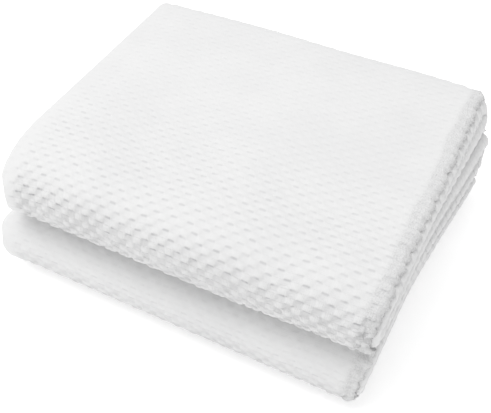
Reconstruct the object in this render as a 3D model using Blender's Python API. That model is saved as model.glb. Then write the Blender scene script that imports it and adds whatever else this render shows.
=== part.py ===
# Waffle bath sheet: one cotton cloth with hemmed edges, folded in three along its length
# and then into six layers, so that two thick bights face the front (-Y) and three the back.
# Metres, +Z up, +X to the right of the front, origin under the middle of the pile.

import math

import bpy

# The cloth and how loosely it lies
CLOTH_THICKNESS = 0.0045
PLY_PITCH = 0.0076
LAYER_PITCH = 0.0236
PLIES_TO_OUTSIDE = PLY_PITCH + CLOTH_THICKNESS / 2

# The strip: the sheet folded in three, plies A, B and C from its outer face inwards
STRIP_WIDTH = 0.34
RIGHT_FOLD_LAP = 0.006
LEFT_HEM_SETBACK = 0.010
SIDE_FOLD_REACH = 0.0045

# The pile
PILE_DEPTH = 0.295
FRONT_BEND_REACH = 0.042
BACK_BEND_REACH = 0.0122
FRONT_BEND_SQUARENESS = 0.8
TUCK_PAST_BEND = 0.022

# Facets of the solid
PLY_FACETS = 7
SIDE_FOLD_FACETS = 5
LAYER_FACETS = 4
FRONT_BEND_FACETS = 12
BACK_BEND_FACETS = 6

# The six layers, from the bottom: how far each stands out sideways past a tidy pile, at the
# right near the front and near the back, and at the left at the front and from there back
OVERHANGS = (
    # name            right_front  right_back  left_front  left_back
    ("bottom",       -0.0065,      0.006,      0.009,      0.003),
    ("bottom tuck",  -0.004,       0.0125,     0.0125,     0.004),
    ("bottom cover", -0.002,       0.0115,     0.012,      0.001),
    ("top cover",    -0.001,       0.0095,    -0.004,     -0.001),
    ("top tuck",     -0.001,       0.004,     -0.006,     -0.001),
    ("top",           0.000,      -0.003,     -0.004,      0.001),
)
RIGHT_FRONT = 1
RIGHT_BACK = 2
LEFT_FRONT = 3
LEFT_BACK = 4
LEFT_FRONT_LENGTH = 0.07

# The right side fans out between these places along Y, and each side's slip starts in from it
RIGHT_FAN_START = -0.04
RIGHT_FAN_END = 0.16
SLIP_FROM_SIDE_SHARE = 0.2

# The way the strip runs: each row is a layer, counted from the bottom, and the end it runs to
RUNS = (
    # layer  runs_to
    (4,      "back"),
    (5,      "front"),
    (3,      "back"),
    (2,      "front"),
    (0,      "back"),
    (1,      "front"),
)

# Soft unevenness: shares of the height by which the sides droop and the top waves, how far the
# foot of the front leans out, how the crease between the front bights sags, and the corners' radius
LEFT_DROOP = 0.04
RIGHT_DROOP = 0.01
DROOP_POWER = 6
WAVE_SHARE = 0.010
WAVES_ACROSS = 2.1
WAVES_ALONG = 1.3
FRONT_CREEP = 0.003
CREASE_SAG = 0.005
CREASE_HEIGHT = 0.069
CREASE_REACH = 0.030
CORNER_RADIUS = 0.018
CORNER_LIMIT = 1.3
TINY = 1e-9


def layer_height(layer):
    return PLIES_TO_OUTSIDE + LAYER_PITCH * layer


PILE_HEIGHT = layer_height(len(OVERHANGS) - 1) + PLIES_TO_OUTSIDE
FRONT_BEND_Y = -PILE_DEPTH / 2 + FRONT_BEND_REACH + PLIES_TO_OUTSIDE
BACK_BEND_Y = PILE_DEPTH / 2 - BACK_BEND_REACH - PLIES_TO_OUTSIDE


def half_ellipse(centre, reach, half_height, start_sign, steps, squareness=1.0):
    """Points and outward normals of a half ellipse that bulges towards the sign of reach.
    Squareness below one makes it boxier."""
    points = []
    turn = 2 - squareness
    for step in range(steps + 1):
        angle = math.pi * (0.5 - step / steps)
        across = max(math.cos(angle), 0.0)
        along = abs(math.sin(angle))
        side = math.copysign(start_sign, math.sin(angle) * start_sign)
        point = (centre[0] + reach * across ** squareness,
                 centre[1] + half_height * side * along ** squareness)
        normal = (across ** turn / reach, side * along ** turn / half_height)
        size = math.hypot(*normal)
        points.append((point, (normal[0] / size, normal[1] / size)))
    return points


def straight(start, end, normal, steps):
    """Points along a line, closer together towards both ends."""
    points = []
    for step in range(steps + 1):
        share = (1 - math.cos(math.pi * step / steps)) / 2
        point = tuple(a + (b - a) * share for a, b in zip(start, end))
        points.append((point, normal))
    return points


def joined(pieces):
    """One list of points from pieces that meet end to end."""
    points = list(pieces[0])
    for piece in pieces[1:]:
        points.extend(piece[1:])
    return points


def strip_section():
    """Closed outline, as (x, height) pairs, of the sheet folded in three: A over B over C."""
    left_fold_x = -STRIP_WIDTH / 2 + SIDE_FOLD_REACH + CLOTH_THICKNESS / 2
    right_fold_x = STRIP_WIDTH / 2 + RIGHT_FOLD_LAP - SIDE_FOLD_REACH - CLOTH_THICKNESS / 2
    right_hem_x = STRIP_WIDTH / 2
    left_hem_x = -STRIP_WIDTH / 2 + LEFT_HEM_SETBACK
    up = (0.0, 1.0)
    down = (0.0, -1.0)
    middle = joined([
        straight((right_hem_x, PLY_PITCH), (left_fold_x, PLY_PITCH), up, PLY_FACETS),
        half_ellipse((left_fold_x, PLY_PITCH / 2), -SIDE_FOLD_REACH, PLY_PITCH / 2, 1, SIDE_FOLD_FACETS),
        straight((left_fold_x, 0.0), (right_fold_x, 0.0), down, PLY_FACETS),
        [(point, (-normal[0], -normal[1])) for point, normal in half_ellipse(
            (right_fold_x, -PLY_PITCH / 2), SIDE_FOLD_REACH, PLY_PITCH / 2, 1, SIDE_FOLD_FACETS)],
        straight((right_fold_x, -PLY_PITCH), (left_hem_x, -PLY_PITCH), up, PLY_FACETS),
    ])
    half = CLOTH_THICKNESS / 2
    outer = [(p[0] + n[0] * half, p[1] + n[1] * half) for p, n in middle]
    inner = [(p[0] - n[0] * half, p[1] - n[1] * half) for p, n in middle]
    return outer, inner


def strip_path():
    """Middle line of the strip through the pile, as (y, z) points with the normals of ply A."""
    pieces = []
    for index, (layer, runs_to) in enumerate(RUNS):
        height = layer_height(layer)
        to_front = runs_to == "front"
        start_y = BACK_BEND_Y if to_front else FRONT_BEND_Y
        end_y = FRONT_BEND_Y if to_front else BACK_BEND_Y
        if index == 0:
            start_y -= TUCK_PAST_BEND
        last = index == len(RUNS) - 1
        if last:
            end_y -= TUCK_PAST_BEND
        # Ply A is on the upper side of a layer that runs forwards and the lower side of the rest
        face = (0.0, 1.0) if to_front else (0.0, -1.0)
        pieces.append(straight((start_y, height), (end_y, height), face, LAYER_FACETS))
        if last:
            break
        next_height = layer_height(RUNS[index + 1][0])
        rise = next_height - height
        reach = -FRONT_BEND_REACH if to_front else BACK_BEND_REACH
        steps = FRONT_BEND_FACETS if to_front else BACK_BEND_FACETS
        squareness = FRONT_BEND_SQUARENESS if to_front else 1.0
        bend = half_ellipse((end_y, (height + next_height) / 2), reach, abs(rise) / 2,
                            -math.copysign(1, rise), steps, squareness)
        # The bend's own normal points out of it, and ply A may be on its inner side
        side = 1 if bend[0][1][1] * face[1] > 0 else -1
        pieces.append([(point, (normal[0] * side, normal[1] * side)) for point, normal in bend])
    return joined(pieces)


def smooth_step(value, low, high):
    share = min(max((value - low) / (high - low), 0.0), 1.0)
    return share * share * (3 - 2 * share)


def overhang(column, height):
    """One column of OVERHANGS, read between the layers' heights."""
    level = (height - PLIES_TO_OUTSIDE) / LAYER_PITCH
    level = min(max(level, 0.0), len(OVERHANGS) - 1.0)
    lower = min(int(level), len(OVERHANGS) - 2)
    share = level - lower
    return OVERHANGS[lower][column] * (1 - share) + OVERHANGS[lower + 1][column] * share


def round_corner(x, y):
    """Draws the pile's four corners in, so that they are round in plan."""
    in_x = (abs(x) - (STRIP_WIDTH / 2 - CORNER_RADIUS)) / CORNER_RADIUS
    in_y = (abs(y) - (PILE_DEPTH / 2 - CORNER_RADIUS)) / CORNER_RADIUS
    in_x = min(max(in_x, 0.0), CORNER_LIMIT)
    in_y = min(max(in_y, 0.0), CORNER_LIMIT)
    pull = max(in_x, in_y) / max(math.hypot(in_x, in_y), TINY)
    if in_x * in_y > 0:
        x -= math.copysign(in_x * CORNER_RADIUS * (1 - pull), x)
        y -= math.copysign(in_y * CORNER_RADIUS * (1 - pull), y)
    return x, y


def settle(x, y, z):
    """Lets the tidy pile lie as a real one: layers slipped sideways, sides lower than the middle."""
    front_y = -PILE_DEPTH / 2
    side = x / (STRIP_WIDTH / 2)
    back_share = smooth_step(y, front_y, PILE_DEPTH / 2)
    left_share = smooth_step(y, front_y, front_y + LEFT_FRONT_LENGTH)
    fan = smooth_step(y, RIGHT_FAN_START, RIGHT_FAN_END)
    right = overhang(RIGHT_FRONT, z) * (1 - fan) + overhang(RIGHT_BACK, z) * fan
    left = overhang(LEFT_FRONT, z) * (1 - left_share) + overhang(LEFT_BACK, z) * left_share
    slip = right * smooth_step(side, SLIP_FROM_SIDE_SHARE, 1.0)
    slip -= left * smooth_step(-side, SLIP_FROM_SIDE_SHARE, 1.0)
    creep = FRONT_CREEP * (1 - back_share) * (1 - z / PILE_HEIGHT)
    near_crease = math.exp(-((z - CREASE_HEIGHT) / CREASE_REACH) ** 2)
    near_crease *= smooth_step(z, 0.0, CREASE_HEIGHT / 2)
    sag = CREASE_SAG * near_crease * (1 - min(side * side, 1.0)) * (1 - back_share)
    droop = (LEFT_DROOP if side < 0 else RIGHT_DROOP) * min(abs(side), 1.0) ** DROOP_POWER
    wave = WAVE_SHARE * math.sin(WAVES_ACROSS * math.pi * side)
    wave *= math.cos(WAVES_ALONG * math.pi * y / PILE_DEPTH)
    x, y = round_corner(x, y)
    return (x + slip, y - creep, z * (1 - droop + wave) - sag)


def sheet_material():
    material = bpy.data.materials.new("white_cotton")
    material.use_nodes = True
    shader = material.node_tree.nodes["Principled BSDF"]
    shader.inputs["Base Color"].default_value = (0.88, 0.88, 0.87, 1.0)
    shader.inputs["Roughness"].default_value = 0.9
    shader.inputs["Metallic"].default_value = 0.0
    return material


def folded_sheet():
    """The strip's closed outline swept along its way through the pile, with both ends closed."""
    outer, inner = strip_section()
    path = strip_path()
    vertices = []
    for (y, z), (normal_y, normal_z) in path:
        for x, height in outer + inner:
            vertices.append(settle(x, y + normal_y * height, z + normal_z * height))
    across = len(outer)
    ring = 2 * across
    # The outline's points in order round the strip: out along one face, back along the other
    loop = list(range(across)) + list(range(ring - 1, across - 1, -1))
    faces = []
    for row in range(len(path) - 1):
        for here, there in zip(loop, loop[1:] + loop[:1]):
            low = row * ring
            faces.append((low + there, low + ring + there, low + ring + here, low + here))
    last = (len(path) - 1) * ring
    for column in range(across - 1):
        faces.append((across + column, across + column + 1, column + 1, column))
        faces.append((last + across + column + 1, last + across + column,
                      last + column, last + column + 1))
    low_corner = [min(v[i] for v in vertices) for i in range(3)]
    high_corner = [max(v[i] for v in vertices) for i in range(3)]
    middle_x = (low_corner[0] + high_corner[0]) / 2
    middle_y = (low_corner[1] + high_corner[1]) / 2
    vertices = [(x - middle_x, y - middle_y, z - low_corner[2]) for x, y, z in vertices]
    mesh = bpy.data.meshes.new("bath_sheet")
    mesh.from_pydata(vertices, [], faces)
    mesh.shade_smooth()
    mesh.set_sharp_from_angle(angle=math.radians(50))
    sheet = bpy.data.objects.new("bath_sheet", mesh)
    bpy.context.scene.collection.objects.link(sheet)
    mesh.materials.append(sheet_material())
    return sheet


for old in list(bpy.data.objects):
    bpy.data.objects.remove(old, do_unlink=True)

folded_sheet()
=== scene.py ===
import math

import bpy
import numpy as np
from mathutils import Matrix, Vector


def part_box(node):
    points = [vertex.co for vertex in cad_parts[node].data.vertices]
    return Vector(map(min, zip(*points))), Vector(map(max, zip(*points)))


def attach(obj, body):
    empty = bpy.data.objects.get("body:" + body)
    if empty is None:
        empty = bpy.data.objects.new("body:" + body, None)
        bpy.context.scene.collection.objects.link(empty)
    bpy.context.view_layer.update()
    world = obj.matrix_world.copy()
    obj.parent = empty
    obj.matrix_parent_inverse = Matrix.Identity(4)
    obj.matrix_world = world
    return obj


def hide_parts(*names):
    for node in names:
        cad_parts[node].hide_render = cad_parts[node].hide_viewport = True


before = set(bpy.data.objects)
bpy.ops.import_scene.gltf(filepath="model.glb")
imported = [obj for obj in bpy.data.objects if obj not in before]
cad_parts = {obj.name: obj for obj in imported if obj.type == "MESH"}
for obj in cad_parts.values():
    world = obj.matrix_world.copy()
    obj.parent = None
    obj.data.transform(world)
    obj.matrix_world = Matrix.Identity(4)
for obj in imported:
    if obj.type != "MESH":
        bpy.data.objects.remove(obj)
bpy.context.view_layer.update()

cadLow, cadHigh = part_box("bath_sheet")

# How the cloth is folded, in metres: in three lengthwise, which makes a strip of three plies,
# and the strip then to and fro into six layers
folding = {
    "clothHalf": 0.0016,          # half the cloth's thickness between its puffs
    "sideHalf": 0.0040,           # and outwards at the side folds and hems, where it bunches
    "sideReach": 0.030,           # how far in from the side it bunches
    "plyPitch": 0.0076,           # from the middle of a ply to the next
    "layerPitch": 0.0236,         # and of a layer, which is three plies
    "outsidePitch": 0.00985,      # from the middle of a layer to its outside
    "stripWidth": 0.34,
    "rightFoldLap": 0.006,
    "leftHemSetback": 0.010,
    "sideFoldReach": 0.0030,
    "sideFoldInset": 0.00675,
    "pileDepth": 0.295,
    "frontBendReach": 0.042,
    "backBendReach": 0.0122,
    "tuckPastBend": 0.034,
    "endSwell": 0.5,              # the sheet's ends, rolled into the bends, lie looser and thicker
    "endSwellFrom": 0.045,
    "endSwellTo": 0.010,
    "frontBendSquareness": 0.8,   # 1 is an ellipse, and less is boxier
    "rightFoldSquareness": 0.6,
    "arcSteps": 40,
    "foldMargin": 0.009,          # the mesh stays fine this far past a side fold or a hem
}

# The parts of the strip's section in order, from the top ply's hem to the bottom ply's
sectionParts = ["topPly", "leftFold", "middlePly", "rightFold", "bottomPly"]

# The way the strip runs through the pile: layer from the bottom, the end it runs to, and
# which face of the cloth shows on the run and on the bend after it, if either does
runs = [
    {"layer": 4, "to": "back", "shows": "", "bendShows": "outer"},
    {"layer": 5, "to": "front", "shows": "outer", "bendShows": "outer"},
    {"layer": 3, "to": "back", "shows": "", "bendShows": "inner"},
    {"layer": 2, "to": "front", "shows": "", "bendShows": "outer"},
    {"layer": 0, "to": "back", "shows": "", "bendShows": "outer"},
    {"layer": 1, "to": "front", "shows": "", "bendShows": ""},
]

# How far each layer stands out sideways past a tidy pile, from the bottom layer up
overhangs = {
    "rightFront": [-0.0065, -0.004, -0.002, -0.001, -0.001, 0.0015],
    "rightBack": [0.006, 0.0125, 0.0115, 0.0125, 0.007, -0.001],
    "leftFront": [0.009, 0.0125, 0.012, -0.005, -0.0085, -0.0065],
    "leftBack": [0.003, 0.004, 0.001, -0.001, -0.001, 0.001],
    "leftFrontLength": 0.07,
    "rightStart": -0.04,          # where the right side starts to fan out, and where it ends
    "rightEnd": 0.16,
}

# How the pile lies once it is put down
settling = {
    "leftDroop": 0.04,            # share of its height by which each side sinks
    "rightDroop": 0.01,
    "droopPower": 6,
    "waveShare": 0.010,           # slow unevenness of the top, as a share of its height
    "wavesAcross": 2.1,
    "wavesAlong": 1.3,
    "slipFrom": 0.2,              # layers slip sideways from this share of the half width out
    "frontCreep": 0.003,          # how far the bottom of the front leans out past the top
    "creaseSag": 0.005,           # how far the middle of the front crease sinks
    "creaseHeight": 0.069,
    "creaseReach": 0.030,
    "frontCornerRound": 0.011,    # plan radius of the pile's corners
    "backCornerRound": 0.018,
    "cornerLimit": 1.3,
}

# The long hem that shows along the right side
hem = {
    "reach": 0.010,               # how far in the unevenness of the cut edge is felt
    "scallop": 0.0012,
    "lift": 0.0007,
    "tuckIn": 0.0018,             # how far the cut edge sinks onto the fold under it
    "tuckReach": 0.030,
    "bulge": 0.9,                 # roundness of the cut edge
    # share, pace and start of the waves that make the scallops and the lift uneven
    "scallopWaves": [(1, 1, 0), (0.6, 0.37, 1.1), (0.5, 1.63, 0.4)],
    "liftWaves": [(1, 0.71, 0.9), (0.7, 1.21, 0)],
}

# How fully the puffs stand up: pressed flat on top at the back, full round the front
fullness = {
    "topBack": 0.22,
    "topFront": 0.52,
    "flatFrom": 0.03,             # back from here along y the top is flattest, and forwards
    "softFrom": -0.12,            # from here it is softest
    "front": 1.6,
    "bendStart": 0.004,           # how far below the top they start to fill out, and are full
    "bendEnd": 0.026,
    "inCrease": 0.25,             # under the overhang of the upper bend
    "creaseFrom": 0.3,            # shares of the crease's height
    "creaseTo": 0.75,
    "lowBend": 1.3,
    "lip": 0.35,                  # along the lower edge of the upper bend
    "lipReach": 0.016,
    "rightFold": 0.6,
    "leftFold": 0.12,
    "leftFoldStart": 0.016,       # how far before the left fold they start to flatten
    "leftFoldFade": 0.012,
    "rightFoldMargin": 0.006,
    "cutEdge": 0.3,
    "floorGap": 0.0005,           # none where it touches the floor, all of it this far above
    "floorReach": 0.008,
}

# The waffle weave: cells in a chequer, raised and sunken by turns
weave = {
    "cellWidth": 0.0073,
    "cellLength": 0.0058,
    "puffHeight": 0.0008,
    "grooveDepth": 0.0002,
    "unevenness": 0.35,
    "drift": 0.0009,              # how far the rows wander from straight
    "driftAcross": {"slow": 0.017, "start": 1.3, "share": 0.7, "quick": 0.0071, "slant": 0.045},
    "driftAlong": {"slow": 0.021, "start": 0.7, "share": 0.6, "quick": 0.0093, "slant": -0.034},
    "roundness": 0.9,             # how much of a cell's wave across rises and falls
    "steepness": 0.45,            # and along, where it is steeper
    "seed": 7,
    "columnsPerCell": 4,
    "rowShares": [0.13, 0.5, 0.87],   # where in each cell's length the mesh has its rows
    "closestRows": 0.08,          # share of a cell under which two rows are made one
    "hiddenRowStep": 0.0039,
    "hiddenColumns": 64,          # of the fine columns, one in so many where nothing shows
}


def smoothStep(value, low, high):
    share = np.clip((value - low) / (high - low), 0.0, 1.0)
    return share * share * (3 - 2 * share)


def arcPoints(centre, reach, halfHeight, startSign, squareness=1.0):
    # half an ellipse bulging towards the sign of reach, as rows of place and outward normal
    steps = folding["arcSteps"]
    angle = np.pi * (0.5 - np.arange(steps + 1) / steps)
    across = np.abs(np.cos(angle))
    along = np.sin(angle) * startSign
    turn = 2 - squareness
    normal = np.stack([across ** turn / reach,
                       np.sign(along) * np.abs(along) ** turn / halfHeight], 1)
    normal /= np.linalg.norm(normal, axis=1)[:, None]
    across = across ** squareness
    along = np.sign(along) * np.abs(along) ** squareness
    place = np.stack([centre[0] + reach * across, centre[1] + halfHeight * along], 1)
    return np.hstack([place, normal])


def linePoints(start, end, normal, steps=2):
    share = np.linspace(0, 1, steps + 1)[:, None]
    place = np.array(start) * (1 - share) + np.array(end) * share
    return np.hstack([place, np.tile(normal, (steps + 1, 1))])


def chain(parts):
    # parts that meet end to end as one table, with where each part starts and ends in it
    table = [parts[0]]
    marks = [0, len(parts[0]) - 1]
    for part in parts[1:]:
        table.append(part[1:])
        marks.append(marks[-1] + len(part) - 1)
    return np.vstack(table), marks


def lengthAlong(table, offset=0.0):
    # distance along a line of places, moved out along its normals by offset
    line = table[:, :2] + table[:, 2:] * offset
    steps = np.linalg.norm(np.diff(line, axis=0), axis=1)
    return np.concatenate([[0.0], np.cumsum(steps)])


def stripSection():
    # across the strip: x and height of the cloth's middle, with the normal of its outer face
    pitch = folding["plyPitch"]
    halfWidth = folding["stripWidth"] / 2
    leftFold = -halfWidth + folding["sideFoldInset"]
    rightFold = halfWidth + folding["rightFoldLap"] - folding["sideFoldInset"]
    reach = folding["sideFoldReach"]
    rightBend = arcPoints((rightFold, -pitch / 2), reach, pitch / 2, 1,
                          folding["rightFoldSquareness"])
    rightBend[:, 2:] *= -1
    return chain([
        linePoints((halfWidth, pitch), (leftFold, pitch), (0, 1)),
        arcPoints((leftFold, pitch / 2), -reach, pitch / 2, 1),
        linePoints((leftFold, 0), (rightFold, 0), (0, -1)),
        rightBend,
        linePoints((rightFold, -pitch), (-halfWidth + folding["leftHemSetback"], -pitch), (0, 1)),
    ])


def layerHeight(layer):
    return folding["outsidePitch"] + folding["layerPitch"] * layer


def stripPath():
    # along the strip: y and z of its middle, with the normal on the top ply's side, and what shows
    frontY = -folding["pileDepth"] / 2 + folding["frontBendReach"] + folding["outsidePitch"]
    backY = folding["pileDepth"] / 2 - folding["backBendReach"] - folding["outsidePitch"]
    parts = []
    shows = []
    for index, run in enumerate(runs):
        height = layerHeight(run["layer"])
        toFront = run["to"] == "front"
        start, end = (backY, frontY) if toFront else (frontY, backY)
        last = index == len(runs) - 1
        start -= folding["tuckPastBend"] if index == 0 else 0
        end -= folding["tuckPastBend"] if last else 0
        face = 1 if toFront else -1      # the top ply is above on a layer that runs forwards
        parts.append(linePoints((start, height), (end, height), (0, face)))
        shows.append(run["shows"])
        if last:
            break
        rise = layerHeight(runs[index + 1]["layer"]) - height
        reach = -folding["frontBendReach"] if toFront else folding["backBendReach"]
        squareness = folding["frontBendSquareness"] if toFront else 1.0
        bend = arcPoints((end, height + rise / 2), reach, abs(rise) / 2,
                         -math.copysign(1, rise), squareness)
        if bend[0, 3] * face < 0:
            bend[:, 2:] *= -1
        parts.append(bend)
        shows.append(run["bendShows"])
    table, marks = chain(parts)
    return table, marks, shows


def overhang(name, level):
    return np.interp(level, range(len(runs)), overhangs[name])


def settle(place):
    # lets the tidy pile lie as a real one
    x, y, z = place.T
    halfWidth = folding["stripWidth"] / 2
    frontY = -folding["pileDepth"] / 2
    level = (z - folding["outsidePitch"]) / folding["layerPitch"]
    side = x / halfWidth
    backShare = smoothStep(y, frontY, -frontY)
    leftShare = smoothStep(y, frontY, frontY + overhangs["leftFrontLength"])
    fan = smoothStep(y, overhangs["rightStart"], overhangs["rightEnd"])
    right = overhang("rightFront", level) * (1 - fan) + overhang("rightBack", level) * fan
    left = overhang("leftFront", level) * (1 - leftShare) + overhang("leftBack", level) * leftShare
    slipFrom = settling["slipFrom"]
    slip = right * smoothStep(side, slipFrom, 1.0) - left * smoothStep(-side, slipFrom, 1.0)
    height = layerHeight(len(runs) - 1) + folding["outsidePitch"]
    creep = settling["frontCreep"] * (1 - backShare) * (1 - z / height)
    nearCrease = np.exp(-((z - settling["creaseHeight"]) / settling["creaseReach"]) ** 2)
    nearCrease *= smoothStep(z, 0.0, settling["creaseHeight"] / 2)
    sag = settling["creaseSag"] * nearCrease * (1 - np.minimum(side * side, 1)) * (1 - backShare)
    droop = np.where(side < 0, settling["leftDroop"], settling["rightDroop"])
    droop = droop * np.minimum(np.abs(side), 1.0) ** settling["droopPower"]
    wave = settling["waveShare"] * np.sin(settling["wavesAcross"] * np.pi * side)
    wave *= np.cos(settling["wavesAlong"] * np.pi * y / folding["pileDepth"])
    # round the corners in plan
    radius = np.where(y < 0, settling["frontCornerRound"], settling["backCornerRound"])
    inX = np.clip((np.abs(x) - (halfWidth - radius)) / radius, 0, settling["cornerLimit"])
    inY = np.clip((np.abs(y) - (-frontY - radius)) / radius, 0, settling["cornerLimit"])
    pull = np.maximum(inX, inY) / np.maximum(np.hypot(inX, inY), 1e-9)
    x = np.where(inX * inY > 0, x - np.sign(x) * inX * radius * (1 - pull), x)
    y = np.where(inX * inY > 0, y - np.sign(y) * inY * radius * (1 - pull), y)
    return np.stack([x + slip, y - creep, z * (1 - droop + wave) - sag], 1)


def keptColumns(lengths, spans):
    # places across a face on the fine grid, all of them in the spans and few elsewhere
    step = weave["cellWidth"] / weave["columnsPerCell"]
    ticks = np.arange(0, lengths[-1], step)
    if lengths[-1] - ticks[-1] < step / 2:
        ticks = ticks[:-1]
    keep = np.arange(len(ticks)) % weave["hiddenColumns"] == 0
    for low, high in spans:
        keep |= (ticks >= low) & (ticks <= high)
    return np.append(ticks[keep], lengths[-1])


def rowPlaces(table, marks, shows):
    # places along the strip of the mesh's rows, and what shows at each
    lengthMiddle = lengthAlong(table)
    faceLength = {"outer": lengthAlong(table, folding["plyPitch"]),
                  "inner": lengthAlong(table, -folding["plyPitch"])}
    cell = weave["cellLength"]
    places = []
    kinds = []
    for part, shown in enumerate(shows):
        first, last = marks[part], marks[part + 1]
        lengths = faceLength[shown] if shown else lengthMiddle
        step = weave["hiddenRowStep"]
        low, high = lengths[first], lengths[last]
        if shown:
            cells = np.arange(math.floor(low / cell), math.ceil(high / cell))
            ticks = ((cells[:, None] + np.array(weave["rowShares"])) * cell).ravel()
            ticks = ticks[(ticks >= low) & (ticks < high)]
        else:
            ticks = np.linspace(low, high, max(2, round((high - low) / step)), endpoint=False)
        inPart = slice(first, last + 1)
        places.append(np.interp(ticks, lengths[inPart], lengthMiddle[inPart]))
        kinds += [shown] * len(ticks)
    places = np.concatenate(places)
    keep = np.append(True, np.diff(places) > cell * weave["closestRows"])
    kinds = [kind for kind, kept in zip(kinds, keep) if kept]
    return np.append(places[keep], lengthMiddle[-1]), kinds + [kinds[-1]]


def stitchRows(here, there):
    # faces between two rows of (place, vertex): a square where both step together, or a triangle
    faces = []
    i = j = 0
    while i < len(here) - 1 or j < len(there) - 1:
        nextHere = here[i + 1][0] if i < len(here) - 1 else math.inf
        nextThere = there[j + 1][0] if j < len(there) - 1 else math.inf
        if abs(nextHere - nextThere) < 1e-9:
            faces.append((here[i][1], here[i + 1][1], there[j + 1][1], there[j][1]))
            i += 1
            j += 1
        elif nextHere < nextThere:
            faces.append((here[i][1], here[i + 1][1], there[j][1]))
            i += 1
        else:
            faces.append((here[i][1], there[j + 1][1], there[j][1]))
            j += 1
    return faces


def ripple(place, otherPlace, wave):
    # a slow wave and a quicker, slanting one
    slow = np.sin(place / wave["slow"] + wave["start"])
    return slow + wave["share"] * np.sin(place / wave["quick"] + otherPlace / wave["slant"])


def wandered(u, v):
    # rows of cells that wander a little from straight, as a soft cloth's do
    newU = u + weave["drift"] * ripple(v, u, weave["driftAcross"])
    newV = v + weave["drift"] * ripple(u, v, weave["driftAlong"])
    return np.stack([newU, newV], 1)


def hemRaggedness(across, alongPlace):
    # puffs at the cut edge push the hem out in scallops, none quite like the next
    nearHem = 1 - smoothStep(across, 0.0, hem["reach"])
    turn = alongPlace * math.pi / weave["cellLength"]
    beat, rise = (sum(share * np.sin(turn * pace + start) for share, pace, start in hem[waves])
                  for waves in ("scallopWaves", "liftWaves"))
    return hem["scallop"] * beat * nearHem, hem["lift"] * rise * nearHem


def eased(share, low, high):
    return low + (high - low) * share


def puffFullness(place, acrossPlace, sign, span):
    # by where the cloth ends up in the pile, and then by which fold of it this is
    y, z = place[:, 1], place[:, 2]
    nearFront = 1 - smoothStep(y, fullness["softFrom"], fullness["flatFrom"])
    amount = eased(nearFront, fullness["topBack"], fullness["topFront"])
    below = smoothStep(z.max() - z, fullness["bendStart"], fullness["bendEnd"])
    amount = eased(below, amount, fullness["front"])
    crease = settling["creaseHeight"]
    nearCrease = smoothStep(z, crease * fullness["creaseFrom"], crease * fullness["creaseTo"])
    low = eased(nearCrease, fullness["lowBend"], fullness["inCrease"])
    lip = eased(smoothStep(z, crease, crease + fullness["lipReach"]), fullness["lip"], 1)
    amount = np.where(z < crease, low, amount * lip)

    leftStart, _ = span("outer", "leftFold", fullness["leftFoldStart"], 0)
    fade = smoothStep(acrossPlace, leftStart, leftStart + fullness["leftFoldFade"])
    amount = np.where(sign >= 0, eased(fade, amount, fullness["leftFold"]), amount)
    margin = fullness["rightFoldMargin"]
    rightStart, rightEnd = span("inner", "rightFold", margin, margin + weave["cellWidth"])
    onRightFold = (sign < 0) & (acrossPlace > rightStart) & (acrossPlace < rightEnd)
    amount = np.where(onRightFold, fullness["rightFold"], amount)
    amount = np.where(sign == 0, fullness["cutEdge"] * amount, amount)
    return amount * smoothStep(z, fullness["floorGap"], fullness["floorReach"])


def thickened(across, sign, section, middleLength):
    # x and height on the cloth's two faces and its cut edges, which bunch up at the sides
    x, height, normalX, normalHeight = (np.interp(across, middleLength, section[:, k])
                                        for k in range(4))
    halfWidth = folding["stripWidth"] / 2
    bunched = smoothStep(np.abs(x), halfWidth - folding["sideReach"], halfWidth)
    foldSide = np.where(x > 0, np.where(across < halfWidth, 0, -1), 1)
    outwards = (foldSide == 0) | (foldSide == sign) | (sign == 0)
    half = folding["clothHalf"]
    thick = half + (folding["sideHalf"] - half) * bunched * outwards
    towards = np.where(across < middleLength[-1] / 2, 1, -1)
    bulge = np.where(sign == 0, thick * hem["bulge"], 0.0) * towards
    return x + normalX * sign * thick + bulge, height + normalHeight * sign * thick


def clothFaces(outerRows, innerRows, firstEdge, lastEdge):
    # both faces of the cloth, its two long cut edges, and its two short ends
    faces = []
    for r in range(len(outerRows) - 1):
        faces += stitchRows(outerRows[r], outerRows[r + 1])
        faces += [face[::-1] for face in stitchRows(innerRows[r], innerRows[r + 1])]
        for edge, end in ((firstEdge, 0), (lastEdge, -1)):
            outer0, outer1 = outerRows[r][end][1], outerRows[r + 1][end][1]
            inner0, inner1 = innerRows[r][end][1], innerRows[r + 1][end][1]
            edge0, edge1 = edge[r], edge[r + 1]
            strips = [(outer1, edge1, edge0, outer0), (edge1, inner1, inner0, edge0)]
            faces += strips if end == 0 else [face[::-1] for face in strips]
    for r, flip in ((0, False), (-1, True)):
        outerRow = outerRows[r]
        scale = outerRow[-1][0] / innerRows[r][-1][0]
        innerRow = [(length * scale, vertex) for length, vertex in innerRows[r]]
        cap = stitchRows(innerRow, outerRow)
        cap.append((innerRow[0][1], outerRow[0][1], firstEdge[r]))
        cap.append((outerRow[-1][1], innerRow[-1][1], lastEdge[r]))
        faces += [face[::-1] for face in cap] if flip else cap
    return faces


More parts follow.
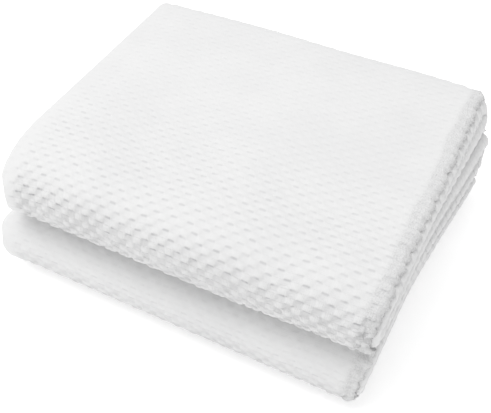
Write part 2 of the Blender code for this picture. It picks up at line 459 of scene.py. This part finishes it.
def foldedCloth():
    section, sectionMarks = stripSection()
    path, pathMarks, shows = stripPath()
    along = lengthAlong(path)
    faceSign = {"outer": 1, "inner": -1}
    sectionLength = {name: lengthAlong(section, sign * folding["clothHalf"])
                     for name, sign in faceSign.items()}
    pathLength = {name: lengthAlong(path, sign * folding["plyPitch"])
                  for name, sign in faceSign.items()}
    middleLength = lengthAlong(section)
    rows, kinds = rowPlaces(path, pathMarks, shows)

    def span(name, part, before, after):
        # where a part of the section starts and ends on one face, widened
        lengths = sectionLength[name]
        index = sectionParts.index(part)
        return lengths[sectionMarks[index]] - before, lengths[sectionMarks[index + 1]] + after

    margin = folding["foldMargin"]
    always = {
        "outer": [(0, margin), span("outer", "leftFold", margin, margin / 2)],
        "inner": [(0, margin / 2), span("inner", "rightFold", margin / 2, margin)],
    }
    shownSpan = {
        "outer": [span("outer", "topPly", 0, 0)],
        "inner": [span("inner", "bottomPly", 0, 0)],
    }
    # fine columns at the folds and hems all along, and over a whole ply only where it shows
    columns = {}
    for name in faceSign:
        for kind in ("", "outer", "inner"):
            spans = always[name] + (shownSpan[name] if kind == name else [])
            columns[name, kind] = keptColumns(sectionLength[name], spans)

    # each row of the mesh has the vertices of both faces and one on each long cut edge
    acrossAll, alongAll, signAll, weaveAll = [], [], [], []
    vertexRows = {"outer": [], "inner": []}
    edgeRows = {"first": [], "last": []}
    count = 0
    for place, kind in zip(rows, kinds):
        for name, sign in faceSign.items():
            lengths = columns[name, kind]
            acrossAll.append(np.interp(lengths, sectionLength[name], middleLength))
            alongAll.append(np.full(len(lengths), place))
            signAll.append(np.full(len(lengths), sign))
            shift = 0 if name == "outer" else weave["cellWidth"]
            faceAlong = np.interp(place, along, pathLength[name])
            weaveAll.append(wandered(lengths + shift, np.full(len(lengths), faceAlong)))
            vertexRows[name].append([(length, count + k) for k, length in enumerate(lengths)])
            count += len(lengths)
        for name, end in (("first", 0.0), ("last", middleLength[-1])):
            acrossAll.append(np.array([end]))
            alongAll.append(np.array([place]))
            signAll.append(np.array([0]))
            weaveAll.append(np.array([[end, np.interp(place, along, pathLength["outer"])]]))
            edgeRows[name].append(count)
            count += 1
    across = np.concatenate(acrossAll)
    alongPlace = np.concatenate(alongAll)
    sign = np.concatenate(signAll)
    weavePlace = np.vstack(weaveAll)

    # across the strip first, then bent along its way through the pile
    x, height = thickened(across, sign, section, middleLength)
    ragged, lifted = hemRaggedness(across, weavePlace[:, 1])
    inView = np.interp(alongPlace, rows, [float(kind == "outer") for kind in kinds])
    x += ragged * inView
    height += lifted * inView - hem["tuckIn"] * (1 - smoothStep(across, 0.0, hem["tuckReach"]))
    fromEnd = np.minimum(alongPlace, along[-1] - alongPlace)
    nearEnd = 1 - smoothStep(fromEnd, folding["endSwellTo"], folding["endSwellFrom"])
    height *= 1 + folding["endSwell"] * nearEnd
    y, z, normalY, normalZ = (np.interp(alongPlace, along, path[:, k]) for k in range(4))
    place = settle(np.stack([x, y + normalY * height, z + normalZ * height], 1))
    place[:, 2] = np.maximum(place[:, 2], 0.0)

    faces = clothFaces(vertexRows["outer"], vertexRows["inner"],
                       edgeRows["first"], edgeRows["last"])
    amount = puffFullness(place, weavePlace[:, 0], sign, span)
    return place, faces, weavePlace, amount


def makeClothMesh(name):
    # the mesh, in the middle of the CAD's box, with its places on the weave as UV and attribute
    place, faces, weavePlace, amount = foldedCloth()
    low, high = place.min(0), place.max(0)
    place[:, 0] += (cadLow.x + cadHigh.x) / 2 - (low[0] + high[0]) / 2
    place[:, 1] += (cadLow.y + cadHigh.y) / 2 - (low[1] + high[1]) / 2
    mesh = bpy.data.meshes.new(name)
    mesh.from_pydata(place.tolist(), [], faces)
    mesh.update()
    mesh.validate()
    weaveData = mesh.attributes.new("weave", "FLOAT_VECTOR", "POINT")
    weaveValues = np.column_stack([weavePlace, amount]).astype(np.float32)
    weaveData.data.foreach_set("vector", weaveValues.ravel())
    uvLayer = mesh.uv_layers.new(name="UVMap")
    loopVertex = np.zeros(len(mesh.loops), np.int32)
    mesh.loops.foreach_get("vertex_index", loopVertex)
    uvLayer.data.foreach_set("uv", weavePlace[loopVertex].astype(np.float32).ravel())
    mesh.shade_smooth()
    cloth = bpy.data.objects.new(name, mesh)
    bpy.context.scene.collection.objects.link(cloth)
    return cloth


def nodeMath(tree, operation, first, second=None):
    node = tree.nodes.new("ShaderNodeMath")
    node.operation = operation
    for socket, value in zip(node.inputs, (first, second)):
        if value is None:
            continue
        if isinstance(value, (int, float)):
            socket.default_value = value
        else:
            tree.links.new(value, socket)
    return node.outputs[0]


def product(tree, first, *others):
    for other in others:
        first = nodeMath(tree, "MULTIPLY", first, other)
    return first


def nodeRange(tree, value, fromRange, toRange=(0.0, 1.0)):
    # eased from one range to another, and level outside it
    node = tree.nodes.new("ShaderNodeMapRange")
    node.interpolation_type = "SMOOTHSTEP"
    tree.links.new(value, node.inputs["Value"])
    for name, number in zip(("From Min", "From Max", "To Min", "To Max"), fromRange + toRange):
        node.inputs[name].default_value = number
    return node.outputs["Result"]


def eitherWay(size):
    return (-size, size)


def waffleTree(material):
    # raises and sinks the cells of the weave along the cloth's own normals
    tree = bpy.data.node_groups.new("waffleRelief", "GeometryNodeTree")
    tree.interface.new_socket("Geometry", in_out="INPUT", socket_type="NodeSocketGeometry")
    for name in ("Cell Width", "Cell Length", "Puff Height", "Groove Depth", "Unevenness"):
        tree.interface.new_socket(name, in_out="INPUT", socket_type="NodeSocketFloat")
    tree.interface.new_socket("Seed", in_out="INPUT", socket_type="NodeSocketInt")
    tree.interface.new_socket("Geometry", in_out="OUTPUT", socket_type="NodeSocketGeometry")
    groupIn = tree.nodes.new("NodeGroupInput")
    groupOut = tree.nodes.new("NodeGroupOutput")
    sizes = groupIn.outputs

    named = tree.nodes.new("GeometryNodeInputNamedAttribute")
    named.data_type = "FLOAT_VECTOR"
    named.inputs["Name"].default_value = "weave"
    split = tree.nodes.new("ShaderNodeSeparateXYZ")
    tree.links.new(named.outputs["Attribute"], split.inputs[0])
    a = nodeMath(tree, "DIVIDE", split.outputs[0], sizes["Cell Width"])
    b = nodeMath(tree, "DIVIDE", split.outputs[1], sizes["Cell Length"])
    waveA = nodeMath(tree, "SINE", nodeMath(tree, "MULTIPLY", a, math.pi))
    waveB = nodeMath(tree, "SINE", nodeMath(tree, "MULTIPLY", b, math.pi))
    softA = nodeRange(tree, waveA, eitherWay(weave["roundness"]), eitherWay(1.0))
    steepB = nodeRange(tree, waveB, eitherWay(weave["steepness"]), eitherWay(1.0))
    groove = nodeMath(tree, "SUBTRACT", 1.0, nodeMath(tree, "ABSOLUTE", waveB))
    groove = product(tree, nodeMath(tree, "POWER", groove, 2.0),
                     nodeMath(tree, "ABSOLUTE", waveA))

    # each cell a little fuller or flatter than the next
    cell = tree.nodes.new("ShaderNodeCombineXYZ")
    tree.links.new(nodeMath(tree, "FLOOR", a), cell.inputs[0])
    tree.links.new(nodeMath(tree, "FLOOR", b), cell.inputs[1])
    tree.links.new(sizes["Seed"], cell.inputs[2])
    chance = tree.nodes.new("ShaderNodeTexWhiteNoise")
    chance.noise_dimensions = "3D"
    tree.links.new(cell.outputs[0], chance.inputs["Vector"])
    spread = product(tree, nodeMath(tree, "SUBTRACT", chance.outputs["Value"], 0.5),
                     sizes["Unevenness"])
    cellFullness = nodeMath(tree, "ADD", spread, 1.0)
    rise = product(tree, softA, steepB, sizes["Puff Height"], cellFullness)
    dip = product(tree, groove, sizes["Groove Depth"])
    lift = product(tree, nodeMath(tree, "SUBTRACT", rise, dip), split.outputs[2])

    normal = tree.nodes.new("GeometryNodeInputNormal")
    scaled = tree.nodes.new("ShaderNodeVectorMath")
    scaled.operation = "SCALE"
    tree.links.new(normal.outputs["Normal"], scaled.inputs[0])
    tree.links.new(lift, scaled.inputs["Scale"])
    setPosition = tree.nodes.new("GeometryNodeSetPosition")
    realize = tree.nodes.new("GeometryNodeRealizeInstances")
    setMaterial = tree.nodes.new("GeometryNodeSetMaterial")
    setMaterial.inputs["Material"].default_value = material
    tree.links.new(groupIn.outputs["Geometry"], setPosition.inputs["Geometry"])
    tree.links.new(scaled.outputs["Vector"], setPosition.inputs["Offset"])
    tree.links.new(setPosition.outputs["Geometry"], realize.inputs["Geometry"])
    tree.links.new(realize.outputs["Geometry"], setMaterial.inputs["Geometry"])
    tree.links.new(setMaterial.outputs["Geometry"], groupOut.inputs["Geometry"])
    return tree


def setInputs(modifier, values):
    for item in modifier.node_group.interface.items_tree:
        if item.item_type == "SOCKET" and item.in_out == "INPUT" and item.name in values:
            modifier[item.identifier] = values[item.name]


def madePlain(source, name):
    # the evaluated object as a plain mesh object, in place of the one with its modifier
    graph = bpy.context.evaluated_depsgraph_get()
    mesh = bpy.data.meshes.new_from_object(source.evaluated_get(graph))
    bpy.data.objects.remove(source, do_unlink=True)
    plain = bpy.data.objects.new(name, mesh)
    mesh.name = name
    bpy.context.scene.collection.objects.link(plain)
    return plain


def addNode(tree, kind, **inputs):
    node = tree.nodes.new(kind)
    for name, value in inputs.items():
        if isinstance(value, bpy.types.NodeSocket):
            tree.links.new(value, node.inputs[name])
        else:
            node.inputs[name].default_value = value
    return node


# The short loose fibres of spun cotton
fibre = {
    "scale": 900.0,
    # the noise behind each output: its scale as a share of the one above, detail and roughness
    "noises": {"Height": (1.0, 3.0, 0.6), "Crinkle": (0.22, 2.0, 0.5), "Shade": (0.02, 2.0, 0.5)},
    "height": 0.00006,
    "crinkleHeight": 0.0006,
    "hemRoughness": 12.0,
    "hemSpeckle": 0.3,            # how dark the speckles of the loose hem are
    "speckleRange": (0.48, 0.60),
}


def fibreGroup():
    # the fibres as a fine height, a coarser crinkle and a faint change of shade
    group = bpy.data.node_groups.new("cottonFibre", "ShaderNodeTree")
    group.interface.new_socket("Vector", in_out="INPUT", socket_type="NodeSocketVector")
    group.interface.new_socket("Scale", in_out="INPUT", socket_type="NodeSocketFloat")
    for name in fibre["noises"]:
        group.interface.new_socket(name, in_out="OUTPUT", socket_type="NodeSocketFloat")
    groupIn = group.nodes.new("NodeGroupInput")
    groupOut = group.nodes.new("NodeGroupOutput")
    for name, (share, detail, roughness) in fibre["noises"].items():
        noise = addNode(group, "ShaderNodeTexNoise", Vector=groupIn.outputs["Vector"],
                        Scale=product(group, groupIn.outputs["Scale"], share),
                        Detail=detail, Roughness=roughness)
        group.links.new(noise.outputs[0], groupOut.inputs[name])
    return group


# The yarns on the cells, and the look of the cotton
yarn = {
    "floatPitch": 0.00146,        # warp floats side by side on a raised cell
    "pickPitch": 0.00145,         # weft floats on a sunken one
    "floatHeight": 0.00016,
    "stepHeight": 0.00022,        # the sharp ends where floats dive under
    "stepSteepness": 0.22,
    "raisedRange": (-0.15, 0.15),
    "slitDepth": 0.0002,          # the slits run across a cell and are narrow along it
    "slitLengthRange": (-0.15, -1.0),
    "slitWidthRange": (0.15, 0.85),
    "patchScale": 130.0,          # the slits are deeper, and their painted shadow darker, in some patches than in others
    "patchRange": (0.36, 0.62),
    "patchAmount": (0.15, 0.68),
    "hemWidth": 0.013,
    "hemPitch": 0.0024,           # of the slanting yarns that hold the hem
    "colour": (0.75, 0.75, 0.75, 1),
    # painted shade of the sunken cells, also the tone of the faint clouds
    "paintedShadeAndCloudColour": (0.69, 0.69, 0.695, 1),
    # painted shadow in the slits, also the colour of the hem's dark speckles
    "slitShadowAndSpeckleColour": (0.50, 0.50, 0.51, 1),
    # how far the sunken cells are darkened by painted shade
    "sunkenPaintedShade": 0.25,
    "cloudRange": (0.35, 0.65),
    "cloudShade": 0.3,
    "roughness": 0.92,
    "sheen": 0.12,
    "sheenRoughness": 0.5,
    "specular": 0.2,
}


def mixedColour(tree, factor, first, second):
    node = tree.nodes.new("ShaderNodeMix")
    node.data_type = "RGBA"
    colourInputs = [socket for socket in node.inputs if socket.type == "RGBA"]
    for socket, value in zip(colourInputs, (first, second)):
        if isinstance(value, bpy.types.NodeSocket):
            tree.links.new(value, socket)
        else:
            socket.default_value = value
    tree.links.new(factor, node.inputs["Factor"])
    return [socket for socket in node.outputs if socket.type == "RGBA"][0]


def clothMaterial(fibres):
    material = bpy.data.materials.new("whiteWaffleCotton")
    material.use_nodes = True
    tree = material.node_tree
    shader = tree.nodes["Principled BSDF"]
    uvMap = tree.nodes.new("ShaderNodeUVMap")
    uvMap.uv_map = "UVMap"
    split = addNode(tree, "ShaderNodeSeparateXYZ", Vector=uvMap.outputs["UV"])
    u, v = split.outputs[0], split.outputs[1]
    weaveData = tree.nodes.new("ShaderNodeAttribute")
    weaveData.attribute_name = "weave"
    amount = addNode(tree, "ShaderNodeSeparateXYZ", Vector=weaveData.outputs["Vector"]).outputs[2]

    def wave(value, pitch):
        return nodeMath(tree, "SINE", product(tree, value, math.pi / pitch))

    # warp floats on the raised cells and weft floats on the sunken ones
    waveV = wave(v, weave["cellLength"])
    softU = nodeRange(tree, wave(u, weave["cellWidth"]), eitherWay(weave["roundness"]),
                      eitherWay(1.0))
    steepV = nodeRange(tree, waveV, eitherWay(yarn["stepSteepness"]), eitherWay(1.0))
    chequer = product(tree, softU, steepV)
    raised = nodeRange(tree, chequer, yarn["raisedRange"])
    sunken = nodeMath(tree, "SUBTRACT", 1.0, raised)
    floats = nodeMath(tree, "ABSOLUTE", wave(u, yarn["floatPitch"]))
    picks = nodeMath(tree, "ABSOLUTE", wave(v, yarn["pickPitch"]))
    yarns = nodeMath(tree, "ADD", product(tree, floats, raised), product(tree, picks, sunken))

    # the slit where each float dives under, with the shade that falls in it under light from above
    # painted dark into the colour, always at its lower end
    halfCellOn = nodeMath(tree, "ADD", v, weave["cellLength"] / 2)
    downwards = product(tree, softU, wave(halfCellOn, weave["cellLength"]))
    patchy = addNode(tree, "ShaderNodeTexNoise", Vector=uvMap.outputs["UV"],
                     Scale=yarn["patchScale"], Detail=1.0)
    slit = product(tree, nodeRange(tree, downwards, yarn["slitLengthRange"]),
                   nodeRange(tree, nodeMath(tree, "ABSOLUTE", waveV), yarn["slitWidthRange"],
                             (1.0, 0.0)),
                   amount, nodeRange(tree, patchy.outputs[0], yarn["patchRange"],
                                     yarn["patchAmount"]))

    # the hem's yarns cross on the slant
    inHem = nodeRange(tree, u, (yarn["hemWidth"] / 2, yarn["hemWidth"]), (1.0, 0.0))
    slant = product(tree, wave(nodeMath(tree, "ADD", u, v), yarn["hemPitch"]),
                    wave(nodeMath(tree, "SUBTRACT", u, v), yarn["hemPitch"]))
    yarns = nodeMath(tree, "ADD", product(tree, yarns, amount), product(tree, slant, inHem))

    # all the heights together
    fuzz = tree.nodes.new("ShaderNodeGroup")
    fuzz.node_tree = fibres
    fuzz.inputs["Scale"].default_value = fibre["scale"]
    place = tree.nodes.new("ShaderNodeTexCoord").outputs["Object"]
    tree.links.new(place, fuzz.inputs["Vector"])
    loose = nodeMath(tree, "ADD", 1.0, product(tree, inHem, fibre["hemRoughness"]))
    height = nodeMath(tree, "SUBTRACT", product(tree, chequer, yarn["stepHeight"], amount),
                      product(tree, slit, yarn["slitDepth"]))
    for part in (product(tree, yarns, yarn["floatHeight"]),
                 product(tree, fuzz.outputs["Height"], loose, fibre["height"]),
                 product(tree, fuzz.outputs["Crinkle"], amount, fibre["crinkleHeight"])):
        height = nodeMath(tree, "ADD", height, part)
    bump = addNode(tree, "ShaderNodeBump", Height=height, Distance=1.0, Strength=1.0)
    tree.links.new(bump.outputs["Normal"], shader.inputs["Normal"])

    # painted shade deeper in the sunken cells, a painted shadow dark in the slits, and faintly
    # cloudy all over
    clouds = nodeRange(tree, fuzz.outputs["Shade"], yarn["cloudRange"], (0.0, yarn["cloudShade"]))
    paintedShadeAndClouds = nodeMath(tree, "ADD", product(tree, sunken, amount, yarn["sunkenPaintedShade"]), clouds)
    speckle = product(tree, inHem, nodeRange(tree, fuzz.outputs["Height"], fibre["speckleRange"],
                                             (0.0, fibre["hemSpeckle"])))
    # the painted shadow of the slits, or the hem's speckle where that is darker
    paintedSlitShadowOrSpeckle = nodeMath(tree, "MAXIMUM", slit, speckle)
    colour = mixedColour(tree, paintedShadeAndClouds, yarn["colour"], yarn["paintedShadeAndCloudColour"])
    colour = mixedColour(tree, paintedSlitShadowOrSpeckle, colour, yarn["slitShadowAndSpeckleColour"])
    tree.links.new(colour, shader.inputs["Base Color"])
    shader.inputs["Roughness"].default_value = yarn["roughness"]
    shader.inputs["Sheen Weight"].default_value = yarn["sheen"]
    shader.inputs["Sheen Roughness"].default_value = yarn["sheenRoughness"]
    shader.inputs["Specular IOR Level"].default_value = yarn["specular"]
    return material


# A pale floor under even light, with one softbox above the left front
studio = {
    "floorSize": 8.0,
    "floorColour": (0.95, 0.95, 0.95, 1),
    "floorGlow": 0.26,            # keeps the floor white round the soft shadow
    "worldStrength": 0.79,
    "keyPower": 18.0,
    "keySize": 1.4,
    "keyPlace": (-0.54, -0.32, 1.96),
}

# Where the camera stands, in degrees round from the front and up, and metres from the target
view = {
    "lens": 56.68,                # millimetres
    "sensor": 36.0,
    "azimuth": 27.075,
    "elevation": 46.295,
    "distance": 0.9109,
    "target": (-0.05619, 0.09932, -0.08847),
    "nearest": 0.01,
}


def makeFloor():
    bpy.ops.mesh.primitive_plane_add(size=studio["floorSize"], location=(0, 0, 0))
    floor = bpy.context.object
    floor.name = "studioFloor"
    paint = bpy.data.materials.new("paleFloor")
    paint.use_nodes = True
    shader = paint.node_tree.nodes["Principled BSDF"]
    shader.inputs["Base Color"].default_value = studio["floorColour"]
    shader.inputs["Roughness"].default_value = 1.0
    shader.inputs["Specular IOR Level"].default_value = 0.0
    shader.inputs["Emission Color"].default_value = (1, 1, 1, 1)
    shader.inputs["Emission Strength"].default_value = studio["floorGlow"]
    floor.data.materials.append(paint)


def makeLights():
    world = bpy.data.worlds.new("studioWorld")
    world.use_nodes = True
    background = world.node_tree.nodes["Background"]
    background.inputs["Color"].default_value = (1, 1, 1, 1)
    background.inputs["Strength"].default_value = studio["worldStrength"]
    bpy.context.scene.world = world
    light = bpy.data.lights.new("keySoftbox", "AREA")
    light.energy = studio["keyPower"]
    light.size = studio["keySize"]
    key = bpy.data.objects.new("keySoftbox", light)
    key.location = studio["keyPlace"]
    key.rotation_euler = Vector(studio["keyPlace"]).to_track_quat("Z", "Y").to_euler()
    bpy.context.scene.collection.objects.link(key)
    bpy.context.scene.view_settings.view_transform = "Standard"


def makeCamera():
    azimuth = math.radians(view["azimuth"])
    elevation = math.radians(view["elevation"])
    back = Vector((math.sin(azimuth) * math.cos(elevation),
                   -math.cos(azimuth) * math.cos(elevation), math.sin(elevation)))
    data = bpy.data.cameras.new("productCamera")
    data.sensor_fit = "HORIZONTAL"
    data.sensor_width = view["sensor"]
    data.lens = view["lens"]
    data.clip_start = view["nearest"]
    camera = bpy.data.objects.new("productCamera", data)
    camera.location = Vector(view["target"]) + back * view["distance"]
    camera.rotation_euler = back.to_track_quat("Z", "Y").to_euler()
    bpy.context.scene.collection.objects.link(camera)
    bpy.context.scene.camera = camera


cotton = clothMaterial(fibreGroup())
cloth = makeClothMesh("waffleSheet")
relief = cloth.modifiers.new("waffleRelief", "NODES")
relief.node_group = waffleTree(cotton)
setInputs(relief, {
    "Cell Width": weave["cellWidth"],
    "Cell Length": weave["cellLength"],
    "Puff Height": weave["puffHeight"],
    "Groove Depth": weave["grooveDepth"],
    "Unevenness": weave["unevenness"],
    "Seed": weave["seed"],
})
cloth = madePlain(cloth, "waffleSheet")
triangles = sum(len(polygon.vertices) - 2 for polygon in cloth.data.polygons)
print("cloth folded and woven:", triangles, "triangles")

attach(cloth, "root")
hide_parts("bath_sheet")

makeFloor()
makeLights()
makeCamera()
print("studio and camera set")
